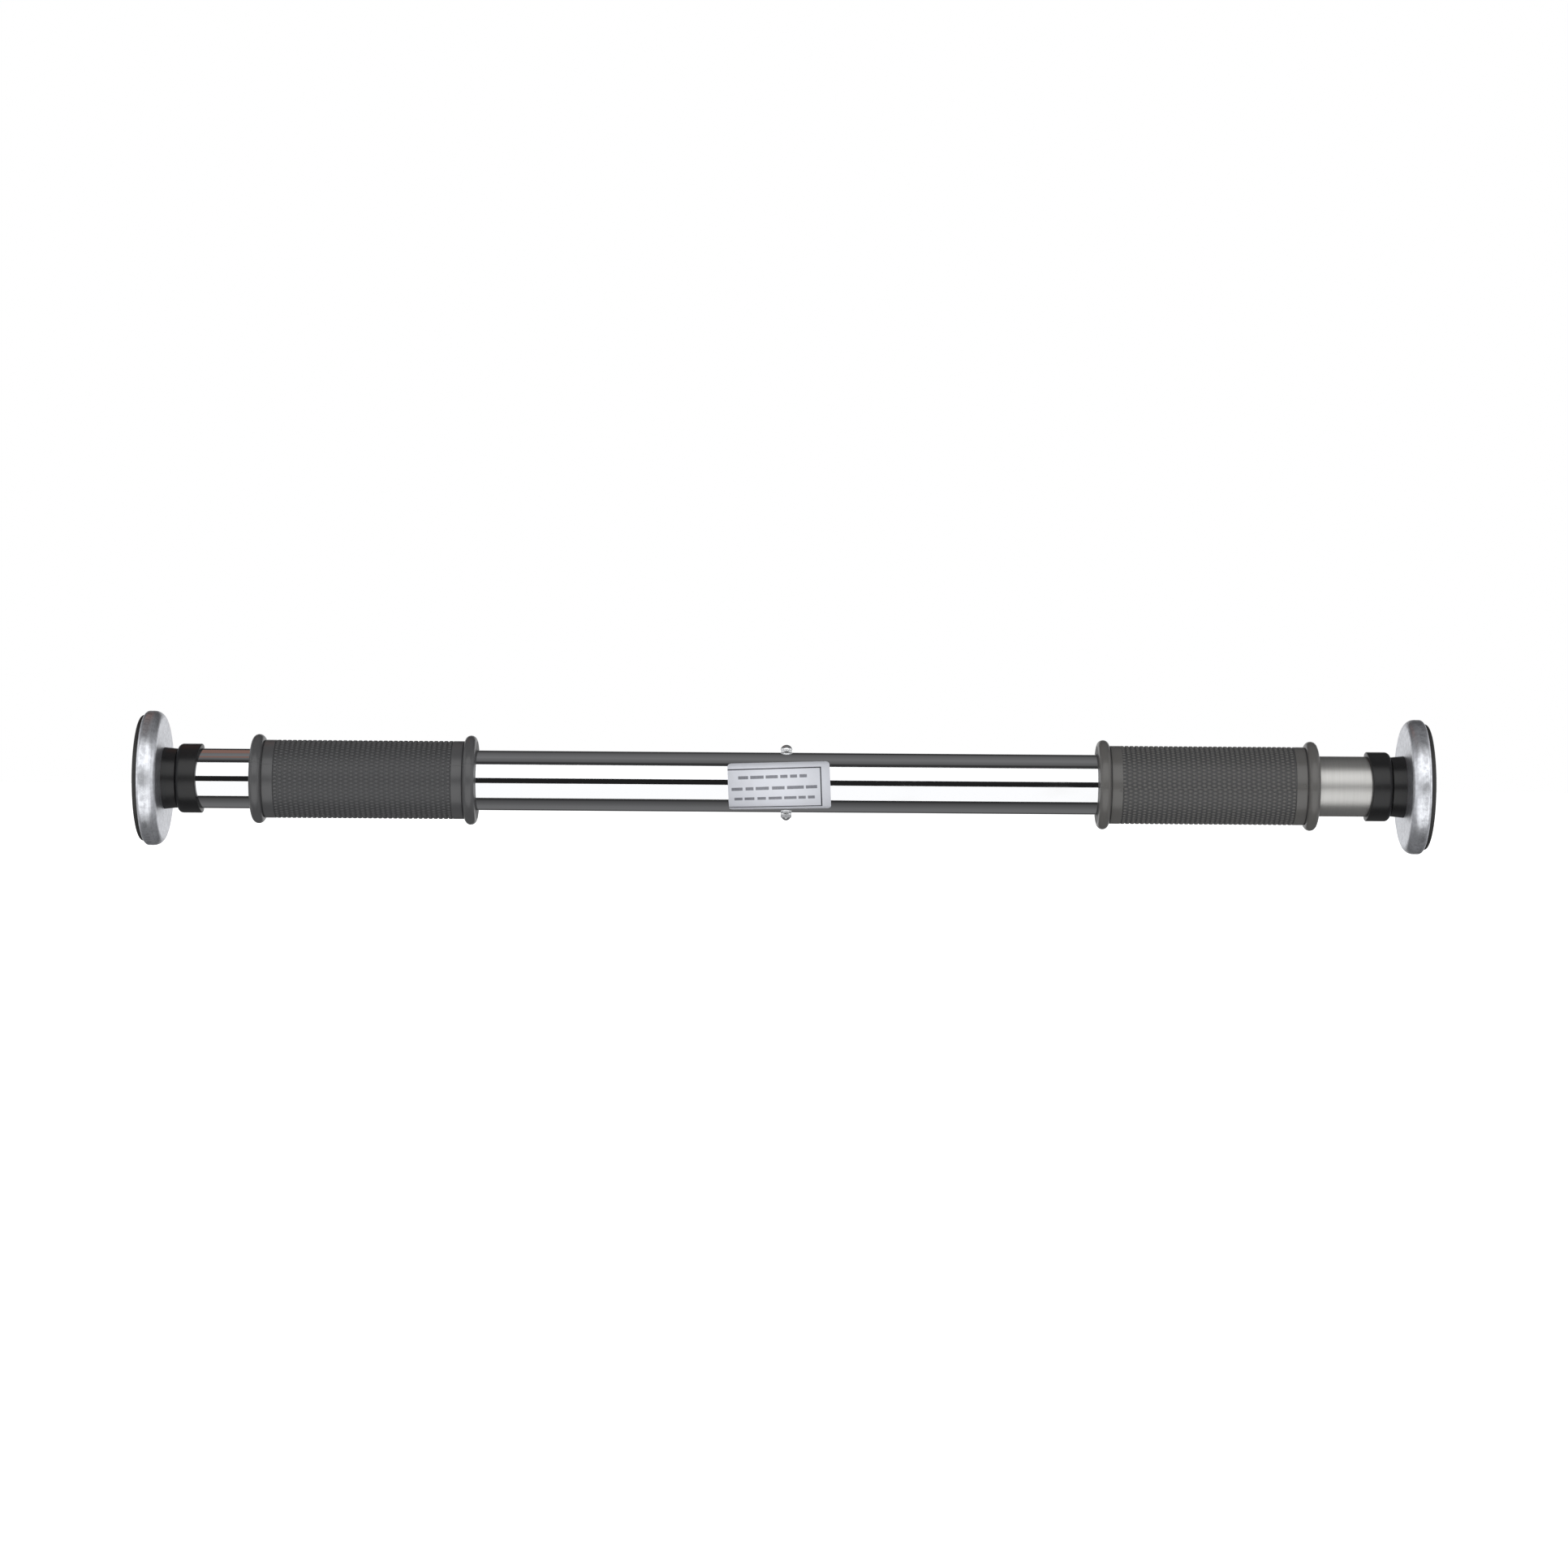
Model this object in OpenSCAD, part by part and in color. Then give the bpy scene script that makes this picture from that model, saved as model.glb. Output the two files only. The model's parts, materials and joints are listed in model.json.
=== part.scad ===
// Doorway pull-up bar: two telescoping tubes, drawn out by a screw spindle
// when the right-hand section is turned, with a swivelling rubber-padded foot
// at each end. The bar lies along X with its middle at the origin, the centre
// bolt stands along Z, and the label faces -Y.

/* [Bar] */
// Length over the two rubber pads, with the bar screwed right in
closed_len = 683; // [600:1:900]
// Outside diameter of the bar
tube_d = 32; // [28:0.5:40]
// Wall of the main tube
tube_wall = 1.5; // [1.2:0.1:2.5]
// Length of the left grip
left_grip_len = 118.9; // [90:0.1:130]
// Length of the right grip
right_grip_len = 116.5; // [90:0.1:130]
// Bare tube between the left grip and its end cap
left_stub_len = 26.9; // [15:0.1:60]
// Bare tube between the right grip and its end cap
right_stub_len = 26.3; // [15:0.1:60]

/* [Telescope] */
// Radial room between the inner tube and the main tube, filled by the bush
slide_room = 0.5; // [0.4:0.05:1]
// Wall of the inner tube
inner_wall = 1.5; // [1.2:0.1:2.5]
// How far the right grip hangs over the joint between the sections
grip_overhang = 9; // [7:0.5:15]
// Gap between the two outer tubes with the bar screwed right in
joint_gap = 4.8; // [2:0.1:6]
// Length of inner tube left inside the main tube at full extension
overlap_min = 49; // [38:1:60]
// Clear space between the anchor block and the spindle nut, screwed right in
park_gap = 7.4; // [3:0.1:12]
// Depth of the guide bush in the main tube
bush_len = 20; // [12:1:30]
// Thickness of the guide bush's flange
bush_flange_t = 1.2; // [0.8:0.1:2]
// Step from the bar's surface down to the rim of the guide bush's flange
bush_flange_step = 0.5; // [0.3:0.1:1]

/* [Spindle] */
// Diameter over the spindle's thread
spindle_d = 16; // [12:0.5:16]
// Length of the anchor block that holds the spindle
anchor_len = 24; // [16:1:40]
// How far the spindle passes the bolt into the block's far side
spindle_tail = 8; // [5:0.5:10]
// Length of the spindle nut inside the inner tube
nut_len = 24; // [16:1:30]
// Thickness of the spindle nut's shoulder
nut_shoulder = 2; // [1.5:0.1:4]
// Length of the stop collar
stop_len = 7; // [5:0.5:12]
// Diameter of the pin through the stop collar
stop_pin_d = 3; // [2:0.5:4]
// Diameter of the rivets that join the inner tube to the sleeve tube
rivet_d = 5; // [4:0.5:6]
// Distance of the rivets from the sleeve tube's inner end
rivet_inset = 50; // [20:1:70]

/* [Centre bolt] */
// How far the bolt lies to the right of the bar's middle
bolt_shift = 1.2; // [0:0.1:3]
// Diameter of the bolt's shank
bolt_d = 4; // [3:0.5:5]
// Diameter of the bolt's round head
bolt_head_d = 6.4; // [6:0.1:9]
// Height of the bolt's round head
bolt_head_h = 2.9; // [2:0.1:4]
// Width of the screwdriver slot
bolt_slot_w = 1; // [0.8:0.1:1.5]
// Width of the cap nut across its flats
cap_nut_af = 5.8; // [5.5:0.1:8]
// Height of the cap nut
cap_nut_h = 3; // [2:0.1:5]
// Thickness of the spring washers under head and nut
bolt_washer_t = 1.2; // [0.8:0.1:1.6]

/* [Grips] */
// Rubber on the bar along the hand grip
grip_wall = 4.75; // [3:0.05:7]
// Height of the end beads above the bar
bead_h = 7.75; // [6:0.05:10]
// Width of each end bead
bead_w = 7.2; // [5:0.1:10]

/* [Feet] */
// Outside diameter of the steel cups
cup_d = 71.5; // [60:0.5:90]
// Depth of the cups
cup_depth = 10; // [9:0.1:16]
// Thickness of the cups' steel
cup_wall = 1.2; // [1:0.1:2]
// Outside radius of the cups' pressed corner
cup_corner_r = 5.5; // [3:0.5:7]
// Outside radius of the cups' curled lip
cup_lip_r = 2.1; // [1.8:0.1:3]
// How far the rubber pads stand out of the cups
pad_proud = 2.4; // [1:0.1:5]
// Rounding of the pads' outer edge
pad_edge_r = 1.6; // [0.5:0.1:2]
// Length of the tapered hub behind each cup
hub_len = 7.3; // [4:0.1:20]
// How much the hub widens from the end cap to the cup, on radius
hub_flare = 0.7; // [0:0.1:2]

/* [End caps] */
// Wall of the end caps around the bar
cap_wall = 2.4; // [1.5:0.1:4]
// Length of bar covered by each end cap
cap_skirt = 10.4; // [8:0.1:20]
// Thickness of the end caps' closed end
cap_end_t = 2.2; // [1.5:0.1:4]
// Rounding from the end cap down to the hub
cap_shoulder_r = 2.7; // [1:0.1:3]
// How far the end caps' mouth is cut back at front and rear
cap_scallop = 2; // [1:0.1:4]
// Length of the plugs in the ends of the tubes
plug_len = 18; // [10:1:25]

/* [Pivots] */
// Diameter of the pivot bolts
pivot_d = 8; // [6:1:10]
// Diameter of the pivot bolts' low round head
pivot_head_d = 15; // [13:0.5:18]
// Height of the pivot bolts' head
pivot_head_h = 4; // [3:0.5:5]
// Width of the pivot nuts across their flats
pivot_nut_af = 13; // [10:0.5:15]
// Height of the pivot nuts
pivot_nut_h = 8; // [5:0.5:9]
// Diameter of the pivot washers
pivot_washer_d = 16; // [14:0.5:18]
// Thickness of the pivot washers
pivot_washer_t = 1.6; // [1:0.1:2]
// Thread that shows past each pivot nut
pivot_tail = 2; // [1:0.5:5]
// Diameter of the pivot bolts' socket
pivot_socket_d = 5; // [3:0.5:6]
// Depth of the pivot bolts' socket
pivot_socket_depth = 2.4; // [1:0.1:3]

/* [Label] */
// Length of the label along the bar
label_len = 55; // [30:1:80]
// How far the label's middle lies to the left of the bar's middle
label_shift = 2.5; // [0:0.5:10]
// Edge of the label above the front line, in degrees
label_top_deg = 44; // [30:1:80]
// Edge of the label below the front line, in degrees
label_bottom_deg = 64; // [30:1:80]
// Thickness of the label
label_t = 0.15; // [0.1:0.01:0.3]

/* [Clearances] */
// Radial clearance of a shaft that turns or slides in its hole
running = 0.05; // [0.03:0.01:0.1]
// Gap between faces that turn against each other
parting = 0.2; // [0.1:0.05:0.5]
// Radial clearance round shanks, heads and collars that touch nothing
loose = 0.5; // [0.3:0.05:1]
// Radial clearance of the right grip over the end of the main tube
grip_clear = 0.3; // [0.2:0.05:0.6]
// Radial clearance of the pads inside the cups' lips
pad_clear = 0.1; // [0.05:0.05:0.5]
// Clearance left between the spindle nut and the stop at full extension
stop_gap = 1; // [0.5:0.5:5]

/* [Hidden] */
$fn = 96;
small_fn = 48;
arc_steps = 8;
cut = 1;             // how far a cut runs past the surface it opens

// Distances from the bar's middle to the planes of the right-hand end
pad_face = closed_len / 2;
cup_lip = pad_face - pad_proud;
cup_back = cup_lip - cup_depth;
hub_start = cup_back - hub_len;
cap_end = hub_start - parting;
tube_end = cap_end - cap_end_t;
cap_mouth = tube_end - cap_skirt;
left_grip_in = cap_mouth - left_stub_len - left_grip_len;
right_grip_in = cap_mouth - right_stub_len - right_grip_len;
sleeve_start = right_grip_in + grip_overhang;
main_end = sleeve_start - joint_gap;
plug_start = tube_end - plug_len;
washer_start = plug_start - parting - pivot_washer_t;
pivot_nut_start = washer_start - pivot_nut_h;
pivot_end = pivot_nut_start - pivot_tail;

// Diameters that follow the bar's
tube_bore = tube_d - 2 * tube_wall;
inner_d = tube_bore - 2 * slide_room;
inner_bore = inner_d - 2 * inner_wall;
cap_d = tube_d + 2 * cap_wall;
hub_d = cap_d - 2 * cap_shoulder_r;
grip_d = tube_d + 2 * grip_wall;
bead_d = tube_d + 2 * bead_h;
stop_d = inner_bore - 2 * loose;
bolt_hole_d = bolt_d + 0.3;
bead_r = bead_w / 2;

// The telescope, screwed right in
anchor_half = anchor_len / 2;
inner_start = anchor_half + park_gap + nut_shoulder;
inner_end = pivot_end - cut;
travel = main_end - overlap_min - inner_start;
stop_start = inner_start + nut_len + travel + stop_gap;
stop_mid = stop_start + stop_len / 2;
spindle_end = stop_start + stop_len + 2;
rivet_x = sleeve_start + rivet_inset;

// The pads inside their cups, measured from the back of the cup
cup_r = cup_d / 2;
pad_r = cup_r - cup_lip_r - pad_clear;
pad_top = cup_depth + pad_proud;
pocket_r = pivot_head_d / 2 + loose;
pocket_top = cup_wall + pivot_head_h + loose;
pad_back_z = cup_corner_r / 2 + cup_wall;

chrome = [0.80, 0.81, 0.83];
satin = [0.66, 0.66, 0.65];
zinc = [0.74, 0.76, 0.80];
steel = [0.52, 0.53, 0.55];
grip_grey = [0.25, 0.25, 0.26];
black = [0.09, 0.09, 0.09];
rubber_black = [0.12, 0.12, 0.12];
nylon = [0.88, 0.87, 0.82];
label_white = [0.84, 0.85, 0.89];

// Points of an arc about [r, z], from angle a0 to a1 in degrees
function arc(r, z, radius, a0, a1) = [
    for (i = [0 : arc_steps])
        let (a = a0 + (a1 - a0) * i / arc_steps)
            [r + radius * cos(a), z + radius * sin(a)]
];

// Stands a shape drawn along +Z on the bar's axis, from x along +X
module on_bar(x) {
    translate([x, 0, 0])
        rotate([0, 90, 0])
            children();
}

// A plain rod on the bar's axis
module rod(x0, x1, d) {
    on_bar(x0)
        cylinder(h = x1 - x0, d = d);
}

// A tube on the bar's axis
module pipe(x0, x1, outer, bore) {
    difference() {
        rod(x0, x1, outer);
        rod(x0 - cut, x1 + cut, bore);
    }
}

// A hole across the bar along Z
module cross_hole(x, d) {
    translate([x, 0, -tube_d])
        cylinder(h = 2 * tube_d, d = d, $fn = small_fn);
}

module at_left() {
    mirror([1, 0, 0])
        children();
}

// ---- main section ----

module main_tube() {
    color(chrome)
        difference() {
            pipe(-tube_end, main_end, tube_d, tube_bore);
            cross_hole(bolt_shift, bolt_hole_d);
        }
}

module anchor_block() {
    color(steel)
        difference() {
            rod(-anchor_half, anchor_half, tube_bore);
            rod(-spindle_tail, anchor_half + cut, spindle_d);
            cross_hole(bolt_shift, bolt_hole_d);
        }
}

// Slotted round head on top, shank down through the bar to the cap nut
module centre_bolt() {
    head_z = tube_d / 2 + bolt_washer_t;
    head_r = bolt_head_d / 2;
    side_h = bolt_head_h / 4;
    dome_h = bolt_head_h - side_h;
    dome_r = (head_r * head_r + dome_h * dome_h) / (2 * dome_h);
    color(chrome)
        translate([bolt_shift, 0, 0])
            difference() {
                union() {
                    translate([0, 0, head_z])
                        intersection() {
                            cylinder(h = bolt_head_h, r = head_r, $fn = small_fn);
                            translate([0, 0, bolt_head_h - dome_r])
                                sphere(r = dome_r, $fn = small_fn);
                        }
                    translate([0, 0, -head_z])
                        cylinder(h = 2 * head_z, d = bolt_d, $fn = small_fn);
                }
                translate([-head_r - cut, -bolt_slot_w / 2, head_z + bolt_head_h / 2])
                    cube([bolt_head_d + 2 * cut, bolt_slot_w, bolt_head_h]);
            }
}

// One spring washer under the bolt's head and one under the cap nut
module bolt_washers() {
    color(steel)
        for (side = [0, 1])
            mirror([0, 0, side])
                translate([bolt_shift, 0, tube_d / 2])
                    difference() {
                        cylinder(h = bolt_washer_t, d = cap_nut_af, $fn = small_fn);
                        translate([0, 0, -cut])
                            cylinder(h = bolt_washer_t + 2 * cut, d = bolt_hole_d, $fn = small_fn);
                    }
}

module centre_nut() {
    dome_r = cap_nut_af * 0.6;
    color(chrome)
        translate([bolt_shift, 0, -tube_d / 2 - bolt_washer_t - cap_nut_h])
            intersection() {
                cylinder(h = cap_nut_h, d = cap_nut_af / cos(30), $fn = 6);
                translate([0, 0, dome_r])
                    union() {
                        sphere(r = dome_r, $fn = small_fn);
                        cylinder(h = cap_nut_h, r = dome_r, $fn = small_fn);
                    }
            }
}

// Screw spindle, drawn over the crests of its thread
module spindle() {
    color(steel)
        difference() {
            rod(-spindle_tail, spindle_end, spindle_d);
            cross_hole(bolt_shift, bolt_hole_d);
            cross_hole(stop_mid, stop_pin_d);
        }
}

module spindle_stop() {
    color(steel)
        difference() {
            pipe(stop_start, stop_start + stop_len, stop_d, spindle_d);
            cross_hole(stop_mid, stop_pin_d);
        }
}

module stop_pin() {
    color(zinc)
        intersection() {
            cross_hole(stop_mid, stop_pin_d);
            rod(stop_start, stop_start + stop_len, stop_d);
        }
}

// Nylon bush in the mouth of the main tube, with a flange over its end
module guide_bush() {
    flange_d = tube_d - 2 * bush_flange_step;
    color(nylon)
        difference() {
            union() {
                rod(main_end - bush_len, main_end, tube_bore);
                rod(main_end, main_end + bush_flange_t, flange_d);
            }
            rod(main_end - bush_len - cut, main_end + bush_flange_t + cut, inner_d + 2 * running);
        }
}

module label() {
    color(label_white)
        on_bar(-label_shift - label_len / 2)
            rotate([0, 0, -90 - label_top_deg])
                rotate_extrude(angle = label_top_deg + label_bottom_deg)
                    translate([tube_d / 2, 0])
                        square([label_t, label_len]);
}

// ---- right section ----

// Holes for the rivets, from the inside of the inner tube outwards
module rivet_holes() {
    cross_hole(rivet_x, rivet_d);
}

module sleeve_tube() {
    color(satin)
        difference() {
            pipe(sleeve_start, tube_end, tube_d, inner_d);
            rivet_holes();
        }
}

module inner_tube() {
    color(zinc)
        difference() {
            pipe(inner_start, inner_end, inner_d, inner_bore);
            rivet_holes();
        }
}

module sleeve_rivets() {
    color(zinc)
        intersection() {
            rivet_holes();
            pipe(rivet_x - rivet_d, rivet_x + rivet_d, tube_d, inner_bore);
        }
}

// Shouldered nut fixed in the inner tube, running on the spindle
module spindle_nut() {
    color(steel)
        difference() {
            union() {
                rod(inner_start, inner_start + nut_len, inner_bore);
                rod(inner_start - nut_shoulder, inner_start, inner_d);
            }
            rod(inner_start - nut_shoulder - cut, inner_start + nut_len + cut, spindle_d + 2 * running);
        }
}

// ---- grips ----

// Hand grip with a rounded bead at each end; z runs outwards from its inner end
module grip_body(grip_in, grip_len) {
    bead_mid = bead_d / 2 - bead_r;
    on_bar(grip_in)
        rotate_extrude()
            difference() {
                union() {
                    translate([0, bead_r])
                        square([grip_d / 2, grip_len - bead_w]);
                    for (z = [bead_r, grip_len - bead_r]) {
                        translate([bead_mid, z])
                            circle(r = bead_r, $fn = small_fn);
                        translate([0, z - bead_r])
                            square([bead_mid, bead_w]);
                    }
                }
                translate([-cut, -cut])
                    square([tube_d / 2 + cut, grip_len + 2 * cut]);
            }
}

module left_grip() {
    color(grip_grey)
        at_left()
            grip_body(left_grip_in, left_grip_len);
}

module right_grip() {
    color(grip_grey)
        difference() {
            grip_body(right_grip_in, right_grip_len);
            rod(right_grip_in - cut, sleeve_start, tube_d + 2 * grip_clear);
        }
}

// ---- end caps and plugs ----

// Cap over the end of a tube; its mouth is trimmed by an arc seen from above
module end_cap() {
    scallop_y = cap_d / 2;
    scallop_r = (scallop_y * scallop_y + cap_scallop * cap_scallop) / (2 * cap_scallop);
    cap_len = cap_end - cap_mouth;
    intersection() {
        on_bar(cap_mouth)
            rotate_extrude()
                polygon(concat(
                    [[tube_d / 2, cap_skirt], [tube_d / 2, -cut], [cap_d / 2, -cut]],
                    arc(cap_d / 2 - cap_shoulder_r, cap_len - cap_shoulder_r, cap_shoulder_r, 0, 90),
                    [[pivot_d / 2 + loose, cap_len], [pivot_d / 2 + loose, cap_skirt]]
                ));
        translate([cap_mouth + scallop_r, 0, -cap_d])
            cylinder(h = 2 * cap_d, r = scallop_r, $fn = 2 * $fn);
    }
}

module left_end_cap() {
    color(black)
        at_left()
            end_cap();
}

module right_end_cap() {
    color(black)
        end_cap();
}

module end_plug(bore) {
    pipe(plug_start, tube_end, bore, pivot_d + 2 * running);
}

module left_end_plug() {
    color(steel)
        at_left()
            end_plug(tube_bore);
}

module right_end_plug() {
    color(steel)
        end_plug(inner_d);
}

// ---- feet ----

module hub() {
    on_bar(hub_start)
        difference() {
            cylinder(h = hub_len, d1 = hub_d, d2 = hub_d + 2 * hub_flare);
            translate([0, 0, -cut])
                cylinder(h = hub_len + 2 * cut, d = pivot_d + 2 * loose, $fn = small_fn);
        }
}

module left_hub() {
    color(black)
        at_left()
            hub();
}

module right_hub() {
    color(black)
        hub();
}

// Pressed steel cup: flat back, rounded corner, and a lip curled over the pad
module cup() {
    hole_r = pivot_d / 2 + loose;
    lip_r = cup_r - cup_lip_r;
    on_bar(cup_back)
        rotate_extrude()
            polygon(concat(
                [[hole_r, cup_wall], [hole_r, 0]],
                arc(cup_r - cup_corner_r, cup_corner_r, cup_corner_r, -90, 0),
                arc(lip_r, cup_depth - cup_lip_r, cup_lip_r, 0, 90),
                arc(lip_r, cup_depth - cup_lip_r, cup_lip_r - cup_wall, 90, 0),
                arc(cup_r - cup_corner_r, cup_corner_r, cup_corner_r - cup_wall, 0, -90)
            ));
}

module left_cup() {
    color(zinc)
        at_left()
            cup();
}

module right_cup() {
    color(zinc)
        cup();
}

// Rubber disc that fills the cup, with a pocket over the pivot bolt's head
module pad() {
    on_bar(cup_back)
        rotate_extrude()
            polygon(concat(
                [[0, pad_top], [0, pocket_top], [pocket_r, pocket_top], [pocket_r, cup_wall]],
                [[cup_r - cup_corner_r - loose, cup_wall], [pad_r, pad_back_z]],
                arc(pad_r - pad_edge_r, pad_top - pad_edge_r, pad_edge_r, 0, 90)
            ));
}

module left_pad() {
    color(rubber_black)
        at_left()
            pad();
}

module right_pad() {
    color(rubber_black)
        pad();
}

// Low-headed pivot bolt, its head inside the cup and its shank towards the bar
module pivot_bolt() {
    head_x = cup_back + cup_wall;
    head_top = head_x + pivot_head_h;
    color(steel)
        difference() {
            union() {
                rod(head_x, head_top, pivot_head_d);
                rod(pivot_end, head_x, pivot_d);
            }
            on_bar(head_top - pivot_socket_depth)
                cylinder(h = pivot_socket_depth + cut, d = pivot_socket_d / cos(30), $fn = 6);
        }
}

module left_pivot_bolt() {
    at_left()
        pivot_bolt();
}

module right_pivot_bolt() {
    pivot_bolt();
}

module pivot_washer() {
    color(zinc)
        pipe(washer_start, washer_start + pivot_washer_t, pivot_washer_d, pivot_d);
}

module left_pivot_washer() {
    at_left()
        pivot_washer();
}

module right_pivot_washer() {
    pivot_washer();
}

module pivot_nut() {
    color(zinc)
        difference() {
            on_bar(pivot_nut_start)
                cylinder(h = pivot_nut_h, d = pivot_nut_af / cos(30), $fn = 6);
            rod(pivot_nut_start - cut, washer_start + cut, pivot_d);
        }
}

module left_pivot_nut() {
    at_left()
        pivot_nut();
}

module right_pivot_nut() {
    pivot_nut();
}

main_tube();
anchor_block();
centre_bolt();
bolt_washers();
centre_nut();
spindle();
spindle_stop();
stop_pin();
guide_bush();
label();
sleeve_tube();
inner_tube();
spindle_nut();
sleeve_rivets();
left_grip();
right_grip();
left_end_cap();
right_end_cap();
left_end_plug();
right_end_plug();
left_hub();
right_hub();
left_cup();
right_cup();
left_pad();
right_pad();
left_pivot_bolt();
right_pivot_bolt();
left_pivot_washer();
right_pivot_washer();
left_pivot_nut();
right_pivot_nut();
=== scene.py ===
import json
import math
import random
import bpy
import bmesh
from mathutils import Matrix, Vector


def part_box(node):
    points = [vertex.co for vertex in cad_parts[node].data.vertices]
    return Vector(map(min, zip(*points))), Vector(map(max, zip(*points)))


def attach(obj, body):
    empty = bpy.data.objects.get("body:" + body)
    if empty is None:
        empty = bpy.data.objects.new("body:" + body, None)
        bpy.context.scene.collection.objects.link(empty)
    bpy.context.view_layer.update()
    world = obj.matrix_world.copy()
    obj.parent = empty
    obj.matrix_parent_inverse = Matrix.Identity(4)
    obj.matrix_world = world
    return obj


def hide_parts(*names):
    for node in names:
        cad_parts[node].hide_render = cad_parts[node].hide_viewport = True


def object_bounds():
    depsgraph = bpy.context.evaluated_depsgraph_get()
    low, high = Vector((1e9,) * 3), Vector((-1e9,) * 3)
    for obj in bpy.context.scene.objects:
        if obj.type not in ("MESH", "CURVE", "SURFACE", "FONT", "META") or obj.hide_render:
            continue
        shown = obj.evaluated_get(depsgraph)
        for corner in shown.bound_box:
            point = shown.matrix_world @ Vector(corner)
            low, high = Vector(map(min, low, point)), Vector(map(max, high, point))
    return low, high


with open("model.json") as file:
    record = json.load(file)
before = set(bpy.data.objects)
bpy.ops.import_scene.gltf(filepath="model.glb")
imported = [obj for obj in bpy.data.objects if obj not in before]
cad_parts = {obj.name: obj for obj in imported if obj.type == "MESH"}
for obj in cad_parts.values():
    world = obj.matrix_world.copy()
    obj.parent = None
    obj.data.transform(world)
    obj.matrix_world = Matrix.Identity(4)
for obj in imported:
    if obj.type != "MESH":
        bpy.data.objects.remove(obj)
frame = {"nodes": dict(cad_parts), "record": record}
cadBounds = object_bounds()
mm = 0.001
fullTurn = 2 * math.pi
print("frame loaded:", len(frame["nodes"]), "nodes")


def along(node):
    # where a CAD node starts and ends along the bar
    low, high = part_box(node)
    return low.x / mm, high.x / mm


def radiusOf(node):
    low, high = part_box(node)
    return (high.z - low.z) / 2 / mm


# all lengths are in millimetres until finishPiece
bar = {
    "radius": radiusOf("main_tube"),
    "tubeEnd": along("right_end_plug")[1],
    "steps": 160,          # facets round each long tube
    "edge": 0.25,          # deburred edge at the tubes' ends
}


class Wire:
    # one output socket; arithmetic on it adds Math nodes
    def __init__(self, recipe, socket):
        self.recipe = recipe
        self.socket = socket

    def maths(self, operation, *values):
        return self.recipe.add("Math", {"operation": operation}, dict(enumerate(values)))

    def __add__(self, other):
        return self.maths("ADD", self, other)

    def __radd__(self, other):
        return self.maths("ADD", other, self)

    def __sub__(self, other):
        return self.maths("SUBTRACT", self, other)

    def __rsub__(self, other):
        return self.maths("SUBTRACT", other, self)

    def __mul__(self, other):
        return self.maths("MULTIPLY", self, other)

    def __rmul__(self, other):
        return self.maths("MULTIPLY", other, self)

    def __truediv__(self, other):
        return self.maths("DIVIDE", self, other)

    def __gt__(self, other):
        return self.maths("GREATER_THAN", self, other)

    def __lt__(self, other):
        return self.maths("LESS_THAN", self, other)

    def __pow__(self, other):
        return self.maths("POWER", self, other)

    def size(self):
        return self.maths("ABSOLUTE", self)

    def most(self, other):
        return self.maths("MAXIMUM", self, other)

    def ramp(self, low, high, start=0.0, end=1.0):
        # start up to low, end from high on, smooth between
        settings = {"interpolation_type": "SMOOTHSTEP"}
        return self.recipe.add("MapRange", settings, {0: self, 1: low, 2: high, 3: start, 4: end})


class Recipe:
    # a material under construction
    def __init__(self, name):
        self.material = bpy.data.materials.new(name)
        self.material.use_nodes = True
        self.tree = self.material.node_tree
        self.tree.nodes.clear()

    def add(self, kind, settings=None, inputs=None, output=0):
        node = self.tree.nodes.new("ShaderNode" + kind)
        for name, value in (settings or {}).items():
            if name == "stops":
                for place, colour in value:
                    known = [e for e in node.color_ramp.elements if abs(e.position - place) < 1e-6]
                    element = known[0] if known else node.color_ramp.elements.new(place)
                    element.color = colour
            else:
                setattr(node, name, value)
        for name, value in (inputs or {}).items():
            if isinstance(value, Wire):
                self.tree.links.new(value.socket, node.inputs[name])
            else:
                node.inputs[name].default_value = value
        return Wire(self, node.outputs[output])

    def objectCoords(self):
        return self.add("TexCoord", output="Object")

    def split(self, vector):
        parts = self.add("SeparateXYZ", inputs={0: vector}).socket.node
        return [Wire(self, socket) for socket in parts.outputs]

    def barPlace(self, coords):
        # the place along the bar and the distance from its axis, in millimetres
        x, y, z = (part / mm for part in self.split(coords))
        return x, (y * y + z * z) ** 0.5

    def grain(self, coords, scale, detail=2.0, rough=0.5, stretch=None):
        if stretch:
            coords = self.add("Mapping", {"vector_type": "POINT"}, {"Vector": coords, "Scale": stretch})
        inputs = {"Vector": coords, "Scale": scale, "Detail": detail, "Roughness": rough}
        return self.add("TexNoise", inputs=inputs)

    def turningLines(self, way, scale, detail):
        # fine lines across one direction, as a lathe tool leaves them
        return self.add("TexNoise", {"noise_dimensions": "1D"}, {"W": way * mm, "Scale": scale, "Detail": detail})

    def blend(self, share, first, second):
        return self.add("Mix", {"data_type": "RGBA"}, {0: share, 6: first, 7: second}, output=2)

    def bump(self, height, depth, strength=1.0):
        return self.add("Bump", inputs={"Height": height, "Distance": depth, "Strength": strength})

    def surface(self, **inputs):
        sockets = {name.replace("_", " "): value for name, value in inputs.items()}
        shader = self.add("BsdfPrincipled", inputs=sockets)
        out = self.tree.nodes.new("ShaderNodeOutputMaterial")
        self.tree.links.new(shader.socket, out.inputs["Surface"])
        return self.material


def rgb(r, g, b):
    return (r, g, b, 1.0)


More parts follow.
